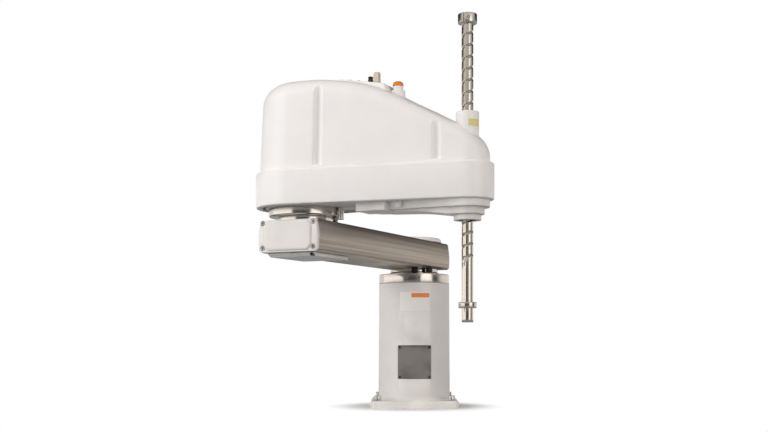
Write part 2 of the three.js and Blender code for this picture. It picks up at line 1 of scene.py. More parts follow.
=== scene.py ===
from math import acos, cos, pi, radians, sin, sqrt

import bmesh
import bpy
from mathutils import Matrix, Vector


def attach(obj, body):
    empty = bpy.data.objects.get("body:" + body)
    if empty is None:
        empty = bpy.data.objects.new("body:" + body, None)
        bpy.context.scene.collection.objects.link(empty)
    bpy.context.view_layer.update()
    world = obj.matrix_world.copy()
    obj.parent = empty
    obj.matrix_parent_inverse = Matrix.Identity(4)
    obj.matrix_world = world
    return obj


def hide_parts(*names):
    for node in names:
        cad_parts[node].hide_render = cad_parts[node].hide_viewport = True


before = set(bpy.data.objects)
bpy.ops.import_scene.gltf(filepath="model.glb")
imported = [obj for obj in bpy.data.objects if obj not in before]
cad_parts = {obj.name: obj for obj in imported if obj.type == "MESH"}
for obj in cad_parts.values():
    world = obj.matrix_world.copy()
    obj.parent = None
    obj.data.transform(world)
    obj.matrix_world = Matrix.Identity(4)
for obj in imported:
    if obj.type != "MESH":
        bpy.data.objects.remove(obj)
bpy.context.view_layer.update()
scene = bpy.context.scene
scene.view_settings.view_transform = "Standard"

# Shapes are drawn in millimetres in the frame of the arm they belong to.
MM = 0.001
ARM_1_LENGTH, ARM_2_LENGTH = 600, 400
ARM_1_HEADING = -115.32   # degrees from +X
BASE = Matrix.Identity(4)
ARM_1 = Matrix.Rotation(radians(ARM_1_HEADING), 4, "Z")
JOINT_2 = ARM_1 @ Matrix.Translation((ARM_1_LENGTH * MM, 0, 0))
ARM_2 = JOINT_2 @ Matrix.Rotation(radians(90), 4, "Z")
SHAFT = ARM_2 @ Matrix.Translation((ARM_2_LENGTH * MM, 0, 0))


# ---- Camera, light and floor ----

def make_camera():
    camera = bpy.data.cameras.new("camera")
    camera.sensor_width = 36
    camera.lens = 50.71875
    camera.shift_x = -1 / 48       # the lens looks level, so the picture is shifted instead
    camera.shift_y = 0.15859375
    obj = bpy.data.objects.new("camera", camera)
    obj.location = (-0.0396, -3.0314, 0.1916)
    obj.rotation_euler = (radians(90), 0, 0)
    scene.collection.objects.link(obj)
    scene.camera = obj


def softbox(name, place, width, height, watts, target=(-0.05, -0.4, 0.45), tint=(1, 1, 1)):
    light = bpy.data.lights.new(name, "AREA")
    light.shape = "RECTANGLE"
    light.size, light.size_y, light.energy, light.color = width, height, watts, tint
    obj = bpy.data.objects.new(name, light)
    obj.location = place
    obj.rotation_euler = (Vector(target) - Vector(place)).to_track_quat("-Z", "Y").to_euler()
    obj.visible_camera = False
    obj.visible_glossy = False
    scene.collection.objects.link(obj)


class Nodes:
    """A short way to add linked shader nodes."""

    def __init__(self, tree):
        self.tree = tree
        tree.nodes.clear()

    def add(self, kind, inputs=None, **settings):
        node = self.tree.nodes.new(kind)
        for key, value in settings.items():
            setattr(node, key, value)
        for key, value in (inputs or {}).items():
            if isinstance(value, bpy.types.NodeSocket):
                self.tree.links.new(value, node.inputs[key])
            else:
                node.inputs[key].default_value = value
        return node

    def math(self, operation, a, b=0.0):
        return self.add("ShaderNodeMath", {0: a, 1: b}, operation=operation).outputs[0]

    def ramp(self, value, low, high, out_low=0.0, out_high=1.0):
        inputs = {"Value": value, "From Min": low, "From Max": high,
                  "To Min": out_low, "To Max": out_high}
        return self.add("ShaderNodeMapRange", inputs, interpolation_type="SMOOTHSTEP").outputs[0]

    def mix(self, factor, a, b):
        node = self.add("ShaderNodeMix", {0: factor}, data_type="RGBA")
        for socket, value in ((node.inputs[6], a), (node.inputs[7], b)):
            if isinstance(value, bpy.types.NodeSocket):
                self.tree.links.new(value, socket)
            else:
                socket.default_value = value
        return node.outputs[2]


def linear(code):
    """A display colour such as 0xe4e2dc as linear red, green, blue and 1."""
    parts = [(code >> shift & 255) / 255 for shift in (16, 8, 0)]
    return [c / 12.92 if c < 0.04045 else ((c + 0.055) / 1.055) ** 2.4 for c in parts] + [1]


# What the metal reflects besides the backdrop: heading in degrees from +X, half angles of the full
# and of the fading part, the height at which it has faded (up is 1) and the strength.
WORLD_PANELS = ((191, 38, 45, 0.20, 1.35), (-50, 16, 23, 0.8, 1.5))


def make_world():
    """The surroundings: pale and low behind the object, a band in front of it and two bright
    panels. The softboxes show in no reflection, these do. The camera sees plain white."""
    world = bpy.data.worlds.new("studio")
    world.use_nodes = True
    scene.world = world
    n = Nodes(world.node_tree)
    way = n.add("ShaderNodeSeparateXYZ", {0: n.add("ShaderNodeTexCoord").outputs["Generated"]})
    up = way.outputs["Z"]
    behind = n.ramp(way.outputs["Y"], -0.30, 0.25)
    low = n.ramp(up, 0.09, 0.27, 1.0, 0.0)
    ahead = n.math("SUBTRACT", 1.0, behind)
    band = n.math("MULTIPLY", n.ramp(up, 0.10, 0.24), n.ramp(up, 0.55, 0.8, 1.0, 0.35))
    level = n.math("ADD", n.math("MULTIPLY", n.math("MULTIPLY", behind, low), 0.85),
                   n.math("MULTIPLY", n.math("MULTIPLY", ahead, band), 0.62))
    for heading, inner, outer, reach, strength in WORLD_PANELS:
        east = n.math("MULTIPLY", way.outputs["X"], cos(radians(heading)))
        north = n.math("MULTIPLY", way.outputs["Y"], sin(radians(heading)))
        toward = n.math("ADD", east, north)
        panel = n.ramp(toward, cos(radians(outer)), cos(radians(inner)), 0.0, strength)
        fade = n.ramp(up, reach * 0.5, reach, 1.0, 0.0)
        level = n.math("MAXIMUM", level, n.math("MULTIPLY", panel, fade))
    level = n.math("ADD", level, 0.04)
    seen = n.add("ShaderNodeLightPath").outputs["Is Camera Ray"]
    color = n.mix(seen, (1.0, 0.955, 0.91, 1), (1, 1, 1, 1))
    strength = n.math("MAXIMUM", level, seen)
    background = n.add("ShaderNodeBackground", {"Color": color, "Strength": strength})
    n.add("ShaderNodeOutputWorld", {"Surface": background.outputs[0]})


def make_floor():
    """A pale disc whose rim fades into the white of the backdrop."""
    bm = bmesh.new()
    bmesh.ops.create_circle(bm, cap_ends=True, radius=9, segments=96)
    mesh = bpy.data.meshes.new("floor")
    bm.to_mesh(mesh)
    obj = bpy.data.objects.new("floor", mesh)
    scene.collection.objects.link(obj)
    material = bpy.data.materials.new("floor")
    material.use_nodes = True
    n = Nodes(material.node_tree)
    place = n.add("ShaderNodeTexCoord").outputs["Object"]
    away = n.add("ShaderNodeVectorMath", {0: place}, operation="LENGTH").outputs["Value"]
    paper = n.add("ShaderNodeBsdfPrincipled", {"Base Color": (0.86, 0.855, 0.845, 1), "Roughness": 0.7})
    seen = n.add("ShaderNodeLightPath").outputs["Is Camera Ray"]
    bright = n.ramp(seen, 0, 1, 0.30, 1.0)
    glow = n.add("ShaderNodeEmission", {"Color": (1, 1, 1, 1), "Strength": bright})
    far = n.ramp(away, 0.12, 0.26)
    shader = n.add("ShaderNodeMixShader", {0: far, 1: paper.outputs[0], 2: glow.outputs[0]})
    n.add("ShaderNodeOutputMaterial", {"Surface": shader.outputs[0]})
    mesh.materials.append(material)


make_camera()
make_world()
make_floor()
softbox("left_softbox", (-2.57, -1.55, 1.35), 1.9, 2.6, 61, tint=(1, 0.99, 0.985))
softbox("right_softbox", (1.72, -2.46, 1.35), 1.7, 2.6, 26, tint=(1, 0.94, 0.90))
softbox("top_softbox", (0.2, -0.6, 3.2), 2.6, 2.6, 17)


# ---- Finishes ----

def finish(name, color, rough, metal=0.0, vary=0.05, patch=14, grain=0.15, grain_scale=700,
           stretch=(1, 1, 1), heading=0.0, spread=0.06, wear=0.0, wear_color=0xffffff, aniso=0.0, coat=0.0,
           painted_hollow_shade=0.0, **sockets):
    """A surface with colour that drifts in soft patches, a fine grain in its gloss and relief, and
    lighter worn edges. Where asked, painted shade darkens its hollows. stretch draws the grain out
    into brush or turning marks."""
    material = bpy.data.materials.new(name)
    material.use_nodes = True
    n = Nodes(material.node_tree)
    place = n.add("ShaderNodeTexCoord").outputs["Object"]
    turn = (0, 0, radians(-heading))
    turned = n.add("ShaderNodeMapping", {"Vector": place, "Rotation": turn}).outputs[0]
    drawn = n.add("ShaderNodeMapping", {"Vector": turned, "Scale": stretch}).outputs[0]
    patches = n.add("ShaderNodeTexNoise", {"Vector": drawn, "Scale": patch, "Detail": 3.0}).outputs[0]
    fine = n.add("ShaderNodeTexNoise", {"Vector": drawn, "Scale": grain_scale, "Detail": 4.0}).outputs[0]
    base = linear(color)
    dark = [c * (1 - vary) for c in base[:3]] + [1]
    light = [min(1, c * (1 + vary)) for c in base[:3]] + [1]
    mottled = n.mix(n.ramp(patches, 0.3, 0.7), dark, light)
    specks = [c * 0.5 for c in base[:3]] + [1]
    shade = n.mix(n.ramp(fine, 0.35, 0.65, 0.0, vary), mottled, specks)
    if wear:
        bare = n.ramp(n.add("ShaderNodeNewGeometry").outputs["Pointiness"], 0.505, 0.56, 0.0, wear)
        shade = n.mix(n.math("MULTIPLY", bare, n.ramp(patches, 0.35, 0.6)), shade, linear(wear_color))
    # Painted shade: concave spots, found by low pointiness, are darkened towards near black. This stands
    # in for the shade that falls in hollows such as the ball groove and the screw sockets.
    if painted_hollow_shade:
        hollow = n.ramp(n.add("ShaderNodeNewGeometry").outputs["Pointiness"], 0.45, 0.492, painted_hollow_shade, 0.0)
        shade = n.mix(hollow, shade, (0.02, 0.018, 0.016, 1))
    gloss = n.ramp(fine, 0.25, 0.75, max(0.02, rough - spread), rough + spread)
    relief = n.add("ShaderNodeBump", {"Height": fine, "Strength": grain, "Distance": 0.0003})
    shader = n.add("ShaderNodeBsdfPrincipled", {
        "Base Color": shade, "Roughness": gloss, "Metallic": metal, "Normal": relief.outputs[0],
        "Anisotropic": aniso, "Coat Weight": coat, **sockets})
    n.add("ShaderNodeOutputMaterial", {"Surface": shader.outputs[0]})
    return material


RINGS = (6, 6, 260)       # turning marks round Z
BRUSH = (2, 420, 420)     # brush marks along X

FINISHES = {
    "white_casting": finish("white_casting", 0xdad7d4, 0.42, vary=0.025, grain=0.35, grain_scale=420,
                            wear=0.5, wear_color=0xf2f1ee, coat=0.15),
    "white_cover": finish("white_cover", 0xe6e4e3, 0.36, vary=0.015, grain=0.10, grain_scale=900,
                          wear=0.35, wear_color=0xf7f6f2, coat=0.2),
    "brushed_beam": finish("brushed_beam", 0xa79a8e, 0.36, metal=1.0, vary=0.02, patch=0.4, grain=0.22,
                           grain_scale=4, stretch=BRUSH, heading=ARM_1_HEADING, wear=0.5,
                           wear_color=0xd8d2ca, aniso=0.5),
    "machined_aluminium": finish("machined_aluminium", 0xb9babb, 0.34, metal=1.0, vary=0.06, patch=4,
                                 grain=0.25, grain_scale=10, stretch=(30, 30, 30), wear=0.4),
    # Polished steel and bright fasteners get painted shade in their hollows, such as the ball groove and
    # the screw sockets, which are darkened.
    "polished_steel": finish("polished_steel", 0xd8d2cb, 0.17, metal=1.0, vary=0.03, patch=1.2,
                             grain=0.03, grain_scale=5, stretch=RINGS, spread=0.03, wear=0.3,
                             painted_hollow_shade=0.6),
    "bright_fasteners": finish("bright_fasteners", 0xc0bdb9, 0.26, metal=1.0, vary=0.08, grain=0.1,
                               wear=0.5, painted_hollow_shade=0.6),
    "dark_steel": finish("dark_steel", 0x35353a, 0.38, metal=0.9, vary=0.12, grain=0.25, grain_scale=900,
                         wear=0.7, wear_color=0x8d8b88),
    "grey_panel": finish("grey_panel", 0x78736f, 0.5, metal=0.35, vary=0.05, grain=0.4, grain_scale=500,
                         wear=0.5, wear_color=0xa9a5a1),
    "motor_black": finish("motor_black", 0x1b1b1e, 0.42, vary=0.15, grain=0.5, grain_scale=600, wear=0.4,
                          wear_color=0x55555a),
    "black_plastic": finish("black_plastic", 0x1c1c1e, 0.42, vary=0.12, grain=0.3, wear=0.4,
                            wear_color=0x4b4b4e),
    "beige_plastic": finish("beige_plastic", 0xb3a898, 0.45, vary=0.06, grain=0.3, wear=0.5,
                            wear_color=0xd3cabb),
    "black_rubber": finish("black_rubber", 0x161616, 0.75, vary=0.15, grain=0.7, grain_scale=500,
                           wear=0.3, wear_color=0x3a3a3a),
    "amber_lens": finish("amber_lens", 0xe07a12, 0.12, vary=0.05, grain=0.03, wear=0.2,
                         wear_color=0xffc070, coat=0.6),
    "label": finish("label", 0xecebe6, 0.5, vary=0.02, grain=0.08, grain_scale=1200),
    "label_orange": finish("label_orange", 0xe58a4a, 0.5, vary=0.04, grain=0.08, grain_scale=1200),
    "label_yellow": finish("label_yellow", 0xdccf8a, 0.5, vary=0.04, grain=0.08, grain_scale=1200),
}


# ---- Shape helpers ----

def loft(rings, loop=False):
    """Joins rings of equally many points. Without loop, the first and last ring get a flat cap."""
    count = len(rings[0])
    points = [p for ring in rings for p in ring]
    steps = [(i, i + 1) for i in range(len(rings) - 1)] + ([(len(rings) - 1, 0)] if loop else [])
    faces = [(a * count + i, a * count + (i + 1) % count, b * count + (i + 1) % count, b * count + i)
             for a, b in steps for i in range(count)]
    if not loop:
        last = (len(rings) - 1) * count
        faces += [tuple(reversed(range(count))), tuple(range(last, last + count))]
    return points, faces


def merged(*shapes):
    points, faces = [], []
    for more_points, more_faces in shapes:
        faces += [tuple(i + len(points) for i in face) for face in more_faces]
        points += more_points
    return points, faces


def moved(shape, x=0, y=0, z=0):
    return [(px + x, py + y, pz + z) for px, py, pz in shape[0]], shape[1]


def turned_to(shape, matrix):
    return [tuple(matrix @ Vector(p)) for p in shape[0]], shape[1]


def eased(points, loop=False, steps=4):
    """Rounds the corners that have a third number, the length cut from each side."""
    out = []
    for i, point in enumerate(points):
        corner = Vector(point[:2])
        if len(point) < 3 or (not loop and i in (0, len(points) - 1)):
            out.append(tuple(corner))
            continue
        before, after = Vector(points[i - 1][:2]), Vector(points[(i + 1) % len(points)][:2])
        start = corner + (before - corner).normalized() * point[2]
        end = corner + (after - corner).normalized() * point[2]
        for k in range(steps + 1):
            t = k / steps
            out.append(tuple(start * (1 - t) ** 2 + corner * 2 * t * (1 - t) + end * t * t))
    return out


def lathe(profile, count=96, loop=False):
    """A solid of revolution about Z, from [radius, z, rounding] points."""
    ways = [(cos(2 * pi * i / count), sin(2 * pi * i / count)) for i in range(count)]
    rings = [[(r * c, r * s, z) for c, s in ways] for r, z in eased(profile, loop)]
    return loft(rings, loop)


def rounded_rectangle(width, height, corner, per_corner=8):
    points = []
    for sx, sy, start in ((1, -1, -90), (1, 1, 0), (-1, 1, 90), (-1, -1, 180)):
        for k in range(per_corner + 1):
            a = radians(start + 90 * k / per_corner)
            points.append((sx * (width / 2 - corner) + corner * cos(a),
                           sy * (height / 2 - corner) + corner * sin(a)))
    return points


def block(x0, x1, y0, y1, z0, z1, corner=1.0, edge=0.8):
    """An upright block with rounded corners and softened top and bottom edges."""
    cx, cy = (x0 + x1) / 2, (y0 + y1) / 2
    rings = []
    for inset, z in ((edge, z0), (edge * 0.3, z0 + edge * 0.3), (0, z0 + edge), (0, z1 - edge),
                     (edge * 0.3, z1 - edge * 0.3), (edge, z1)):
        outline = rounded_rectangle(x1 - x0 - 2 * inset, y1 - y0 - 2 * inset,
                                    max(0.2, corner - inset * 0.5), 4)
        rings.append([(cx + x, cy + y, z) for x, y in outline])
    return loft(rings)


def cap_screw(head, height, socket, z=0.0, count=48):
    """A cap screw head with a hexagon socket, standing on z. head is its radius, and socket is
    half the distance across the socket's flats."""
    ways = [2 * pi * i / count for i in range(count)]

    def circle(radius, at):
        return [(radius * cos(a), radius * sin(a), at) for a in ways]

    def hexagon(flat, at):
        reach = [flat / cos((a % (pi / 3)) - pi / 6) for a in ways]
        return [(r * cos(a), r * sin(a), at) for r, a in zip(reach, ways)]

    top = z + height
    edge = min(0.8, height * 0.12)
    return loft([circle(head, z), circle(head, top - edge), circle(head - edge * 0.3, top - edge * 0.3),
                 circle(head - edge, top), circle(socket * 1.3, top), hexagon(socket, top - 0.5),
                 hexagon(socket, top - height * 0.5)])


def tapered(radius_0, radius_1, length, x0=0.0, arc=40, side=24, places=None):
    """The outline of two round ends and their tangents, as (centre x, radius, normal) stations."""
    angle = acos((radius_0 - radius_1) / (length - x0))
    places = places or [k / side for k in range(1, side)]
    ends = [(length, radius_1, a) for a in
            (-angle + 2 * angle * k / arc for k in range(arc + 1))]
    far = [(x0, radius_0, a) for a in
           (angle + (2 * pi - 2 * angle) * k / (arc + 16) for k in range(arc + 17))]

    def along(share, a):
        return x0 + (length - x0) * share, radius_0 + (radius_1 - radius_0) * share, a

    upper = [along(p, angle) for p in reversed(places)]
    lower = [along(p, -angle) for p in places]
    return ends + upper + far + lower


def ring_at(outline, inset, z):
    """One ring of the outline, inset all round. An inset of None is the middle line."""
    ring = []
    for centre, radius, a in outline:
        r = 0 if inset is None else max(0, radius - inset)
        x = centre + r * cos(a)
        ring.append((x, r * sin(a), z(x) if callable(z) else z))
    return ring


def make(name, shape, body, slot, at=BASE, replaces=(), sharp=32):
    """Turns a shape into a piece that rides on a body, with its finish."""
    points, faces = shape
    mesh = bpy.data.meshes.new(name)
    mesh.from_pydata([Vector(p) * MM for p in points], [], faces)
    bm = bmesh.new()
    bm.from_mesh(mesh)
    bmesh.ops.remove_doubles(bm, verts=bm.verts, dist=2e-6)
    bmesh.ops.recalc_face_normals(bm, faces=bm.faces)
    bm.to_mesh(mesh)
    mesh.transform(at)
    obj = bpy.data.objects.new(name, mesh)
    scene.collection.objects.link(obj)
    return dress(obj, body, slot, replaces, sharp)


def dress(obj, body, slot, replaces=(), sharp=32):
    obj.data.shade_smooth()
    obj.data.set_sharp_from_angle(angle=radians(sharp))
    obj.data.materials.clear()
    obj.data.materials.append(FINISHES[slot])
    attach(obj, body)
    if replaces:
        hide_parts(*replaces)
    return obj


def softened(node, body, slot, width, segments=2):
    """A copy of a CAD piece with rounded edges, standing for it."""
    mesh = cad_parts[node].data.copy()
    bm = bmesh.new()
    bm.from_mesh(mesh)
    bmesh.ops.remove_doubles(bm, verts=bm.verts, dist=1e-5)
    bmesh.ops.dissolve_limit(bm, angle_limit=radians(1), verts=bm.verts, edges=bm.edges)
    bm.to_mesh(mesh)
    obj = bpy.data.objects.new(node + "_form", mesh)
    scene.collection.objects.link(obj)
    dress(obj, body, slot, (node,), 40)
    bevel = obj.modifiers.new("edges", "BEVEL")
    bevel.width, bevel.segments, bevel.limit_method = width * MM, segments, "ANGLE"
    bevel.angle_limit, bevel.harden_normals = radians(40), True
    return obj


def slot_box(x0, x1, y0, y1, z0, z1):
    return loft([[(x0, y0, z), (x1, y0, z), (x1, y1, z), (x0, y1, z)] for z in (z0, z1)])


def carve(obj, *shapes, at=BASE, sharp=32):
    """Cuts shapes out of a piece."""
    cutters = []
    for points, faces in shapes:
        mesh = bpy.data.meshes.new("cutter")
        mesh.from_pydata([Vector(p) * MM for p in points], [], faces)
        bm = bmesh.new()
        bm.from_mesh(mesh)
        bmesh.ops.recalc_face_normals(bm, faces=bm.faces)
        bm.to_mesh(mesh)
        mesh.transform(at)
        cutter = bpy.data.objects.new("cutter", mesh)
        scene.collection.objects.link(cutter)
        cut = obj.modifiers.new("cut", "BOOLEAN")
        cut.object, cut.operation, cut.solver = cutter, "DIFFERENCE", "EXACT"
        cutters.append(cutter)
    bpy.context.view_layer.update()
    graph = bpy.context.evaluated_depsgraph_get()
    cut_mesh = bpy.data.meshes.new_from_object(obj.evaluated_get(graph))
    obj.modifiers.clear()
    obj.data = cut_mesh
    obj.data.set_sharp_from_angle(angle=radians(sharp))
    for cutter in cutters:
        bpy.data.objects.remove(cutter)


# ---- Base ----

FOOT_WIDTH, BOLT_AT = 240, 100


def curved_label(radius, angle_0, angle_1, z0, z1, thickness=0.35, steps=24):
    """A thin patch on an upright cylinder. Angles are from +X."""
    rings = []
    for inner, z in ((0, z0), (thickness, z0), (thickness, z1), (0, z1)):
        r = radius + inner
        rings.append([(r * cos(a), r * sin(a), z) for a in
                      (radians(angle_0 + (angle_1 - angle_0) * k / steps) for k in range(steps + 1))])
    points = [p for ring in rings for p in ring]
    n = steps + 1
    faces = [(a * n + k, a * n + k + 1, b * n + k + 1, b * n + k)
             for a, b in ((0, 1), (1, 2), (2, 3), (3, 0)) for k in range(steps)]
    faces += [(0, n, 2 * n, 3 * n), (n - 1, 4 * n - 1, 3 * n - 1, 2 * n - 1)]
    return points, faces


def make_base():
    foot_rings = []
    for inset, z in ((1.2, 0), (0.3, 0.4), (0, 1.4), (0, 15), (0.6, 18), (2.2, 20.2), (4.5, 21)):
        width = FOOT_WIDTH - 2 * inset
        outline = rounded_rectangle(width, width, 14 - inset * 0.6)
        foot_rings.append([(x, y, z) for x, y in outline])
    make("base_foot", loft(foot_rings), "base", "white_casting", replaces=["base_casting"])
    column = make("base_column", lathe([(106, 20.8), (99.5, 27.5, 5), (98, 341.8, 1), (72, 341.8)], 192),
                  "base", "white_casting")
    panel_recess = slot_box(-45.5, 45.5, -120, -87.5, 79.5, 171.5)
    rear_recess = slot_box(-60.5, 60.5, 80, 120, 69.5, 200.5)
    carve(column, panel_recess, rear_recess)
    panel = block(-45, 45, -45.5, 45.5, 0, 2.5, 1.5, 0.6)
    upright = Matrix.Translation((0, -87.8, 125.5)) @ Matrix.Rotation(radians(90), 4, "X")
    make("panel_plate", turned_to(panel, upright), "base", "grey_panel", replaces=["access_panel"])
    for i, (x, z) in enumerate(((-40, -40.5), (40, -40.5), (40, 40.5), (-40, 40.5))):
        head = turned_to(cap_screw(3.6, 2.2, 1.5, 2.5), upright @ Matrix.Translation((x, z, 0)))
        make(f"panel_screw_{i + 1}", head, "base", "dark_steel")
    for i, (x, y) in enumerate(((-BOLT_AT, -BOLT_AT), (BOLT_AT, -BOLT_AT),
                                (BOLT_AT, BOLT_AT), (-BOLT_AT, BOLT_AT))):
        washer = lathe([(6.5, 21), (9.9, 21, 0.4), (9.9, 23.2, 0.5), (6.5, 23.2)], 48, loop=True)
        make(f"foot_washer_{i + 1}", moved(washer, x, y), "base", "bright_fasteners")
        make(f"foot_bolt_head_{i + 1}", moved(cap_screw(9.2, 12, 5, 23.2), x, y), "base",
             "bright_fasteners", replaces=[f"foot_bolt_{i + 1}"])
    make("column_label", curved_label(98.3, 246.3, 295.2, 264.6, 316), "base", "label")
    make("column_label_band", curved_label(98.7, 265, 294, 301.5, 313, 0.3), "base", "label_orange")
    ring = lathe([(70, 342.1), (98, 342.1, 0.8), (98, 367.2, 1.4), (70, 367.2)], 192, loop=True)
    make("j1_ring", ring, "base", "polished_steel", replaces=["j1_bearing_ring"])
    softened("j1_stop_block", "base", "dark_steel", 1.2)
    softened("rear_connector_plate", "base", "machined_aluminium", 0.5)
    softened("power_connector", "base", "black_plastic", 0.8)
    softened("signal_connector", "base", "black_plastic", 0.8)


# ---- Arm 1 ----

WIDEST_HEIGHT = 415        # of the beam's bulged sides
CAP_SINK_RADIUS = 6.1      # of the counterbores in the front cap


def beam_section(inset, foot=70, bevel=76, bulge=80.5, shoulder=73.2, top=69, low=383.2, high=456.5):
    """The beam's section as (y, z) points: flat bottom, small bevel, bulged side, rounded shoulder."""
    z0, z1 = low + inset, high - inset
    side = [(foot - inset, z0)]
    start = Vector((bevel - inset, z0 + 4))
    mid = Vector((bulge - inset, WIDEST_HEIGHT))
    end = Vector((shoulder - inset, z1 - 4))
    for k in range(15):
        t = k / 14
        side.append(tuple(start * (1 - t) ** 2 + mid * 2 * t * (1 - t) + end * t * t))
    for k in range(1, 6):
        t = k / 5
        corner = Vector((shoulder - inset - 0.5, z1))
        flat = Vector((top - inset, z1))
        side.append(tuple(end * (1 - t) ** 2 + corner * 2 * t * (1 - t) + flat * t * t))
    return side + [(-y, z) for y, z in reversed(side)]


def along_x(sections):
    """Joins (x, section of (y, z) points) pairs."""
    return loft([[(x, y, z) for y, z in section] for x, section in sections])


def make_arm_1():
    beam = along_x([(-68, beam_section(0.6)), (-67.4, beam_section(0)), (671.2, beam_section(0)),
                    (671.8, beam_section(0.6))])
    make("beam", beam, "arm_1", "brushed_beam", ARM_1, ["arm_1_beam"], sharp=24)
    plate = [(672.1, beam_section(1.2)), (672.6, beam_section(0.4)), (677.4, beam_section(0.4)),
             (679.2, beam_section(0.9)), (680.1, beam_section(2.4))]
    cap = make("front_cap_plate", along_x(plate), "arm_1", "white_casting", ARM_1,
               ["arm_1_front_cap"], sharp=40)
    pad = []
    for grow, out in ((5, 0), (4.4, 0.2), (4, 0.7), (3.6, 1.6), (2.6, 2.8), (1, 3.6), (-1, 4), (-3, 4.1)):
        outline = rounded_rectangle(114 + 2 * grow, 60 + 2 * grow, 12 + grow)
        pad.append((679.9 + out, [(y, 420.8 + z) for y, z in outline]))
    make("front_cap_pad", along_x(pad), "arm_1", "white_casting", ARM_1, sharp=40)
    sinks = []
    for i, (y, z) in enumerate(((-65.5, 394), (65.5, 394), (65.5, 449.5), (-65.5, 449.5))):
        facing = Matrix.Translation((676.2, y, z)) @ Matrix.Rotation(radians(90), 4, "Y")
        make(f"front_cap_screw_head_{i + 1}", turned_to(cap_screw(5, 4, 2.4), facing), "arm_1",
             "bright_fasteners", ARM_1, [f"front_cap_screw_{i + 1}"])
        sink = loft([[(CAP_SINK_RADIUS * cos(k * pi / 18), CAP_SINK_RADIUS * sin(k * pi / 18), at)
                      for k in range(36)] for at in (0, 12)])
        sinks.append(turned_to(sink, facing))
    carve(cap, *sinks, at=ARM_1)
    rear = [(-73.3, beam_section(2.2)), (-72.6, beam_section(0.9)), (-71.6, beam_section(0.4)),
            (-68.3, beam_section(0.4))]
    make("rear_cap", along_x(rear), "arm_1", "white_casting", ARM_1, ["arm_1_rear_cap"])
    softened("arm_1_under_cover", "arm_1", "white_casting", 2.0, 3)
    corner = Matrix.Translation((658, 54, 378.2)) @ Matrix.Rotation(radians(90), 4, "Y")
    make("under_cover_screw", turned_to(cap_screw(4, 10, 1.9), corner), "arm_1", "dark_steel", ARM_1)
    hub = lathe([(30, 367.5), (70, 367.5, 0.8), (70, 371, 1), (66, 373, 1), (66, 382.9, 0.8),
                 (30, 382.9)], 144, loop=True)
    make("j1_hub", hub, "arm_1", "polished_steel", ARM_1, ["j1_output_hub"])
    cap = lathe([(76, 456.8), (76, 462.5, 1.6), (71, 467.6, 2.5), (66, 469, 1.5), (40, 469)], 144)
    make("j1_cap", cap, "arm_1", "white_cover", ARM_1, ["j1_top_cap"])
    lower_hub = lathe([(30.2, 456.8), (62.5, 456.8, 0.6), (62.5, 467, 0.6), (30.2, 467)], 144, loop=True)
    make("j2_hub", lower_hub, "arm_1", "polished_steel", JOINT_2, ["j2_fixed_hub"])
    for i, heading in enumerate((-90, -62)):
        stop = lathe([(4, 369.7), (8.5, 369.7, 1.2), (8.5, 382.9), (4, 382.9)], 48)
        at = Matrix.Rotation(radians(heading), 4, "Z") @ Matrix.Translation((0.085, 0, 0))
        make(f"j1_stop_{i + 1}", stop, "arm_1", "black_rubber", at, [f"j1_stop_bolt_{i + 1}"])
    for i, heading in enumerate((161.5, 198.5)):
        post = lathe([(4, 456.8), (7, 456.8, 0.4), (7, 466, 0.5), (6.2, 466.6, 0.3),
                      (6.2, 468, 0.3), (7, 468.6, 0.5), (7, 483, 1.2), (3, 483)], 48)
        at = JOINT_2 @ Matrix.Rotation(radians(heading), 4, "Z") @ Matrix.Translation((0.092, 0, 0))
        make(f"j2_stop_{i + 1}", post, "arm_1", "bright_fasteners", at, [f"j2_stop_post_{i + 1}"])


# ---- Arm 2 ----

# The height of the cover's middle line, as (x, z) points.
CREST = [(-120, 766), (-50, 769), (0, 771), (60, 771), (100, 767), (145, 760), (190, 748), (238, 728),
         (283, 704), (328, 681), (372, 657), (416, 631), (443, 612), (470, 592)]
GROOVES = (83, 350)        # x of the screw channels in the cover's flanks
GROOVE_HALF, GROOVE_DEPTH = 11, 7.2
FINE_AT = (70, 343)        # where along the flank's centre line the outline is drawn finer for them
FINE_STEP, PLAIN_STEP = 1.3, 10
DRAFT, DRAFT_HEIGHT = 11, 224.5   # the wall leans in by the first over the second


def between(table, x):
    """Smooth interpolation in a table of (x, value) pairs."""
    if x <= table[0][0]:
        return table[0][1]
    for i in range(len(table) - 1):
        (x0, v0), (x1, v1) = table[i], table[i + 1]
        if x <= x1:
            before = table[max(0, i - 1)]
            after = table[min(len(table) - 1, i + 2)]
            m0 = (v1 - before[1]) / (x1 - before[0])
            m1 = (after[1] - v0) / (after[0] - x0)
            h, t = x1 - x0, (x - x0) / (x1 - x0)
            return (v0 * (1 + 2 * t) * (1 - t) ** 2 + m0 * h * t * (1 - t) ** 2
                    + v1 * t * t * (3 - 2 * t) - m1 * h * t * t * (1 - t))
    return table[-1][1]


def groove_depth(centre, radius, a):
    """How far a screw channel in the cover's flank is sunk, at an outline station."""
    x = centre + radius * cos(a)
    for spot in GROOVES:
        if abs(x - spot) < GROOVE_HALF and abs(sin(a)) > 0.9:
            return GROOVE_DEPTH * cos(pi / 2 * (x - spot) / GROOVE_HALF) ** 0.8
    return 0.0


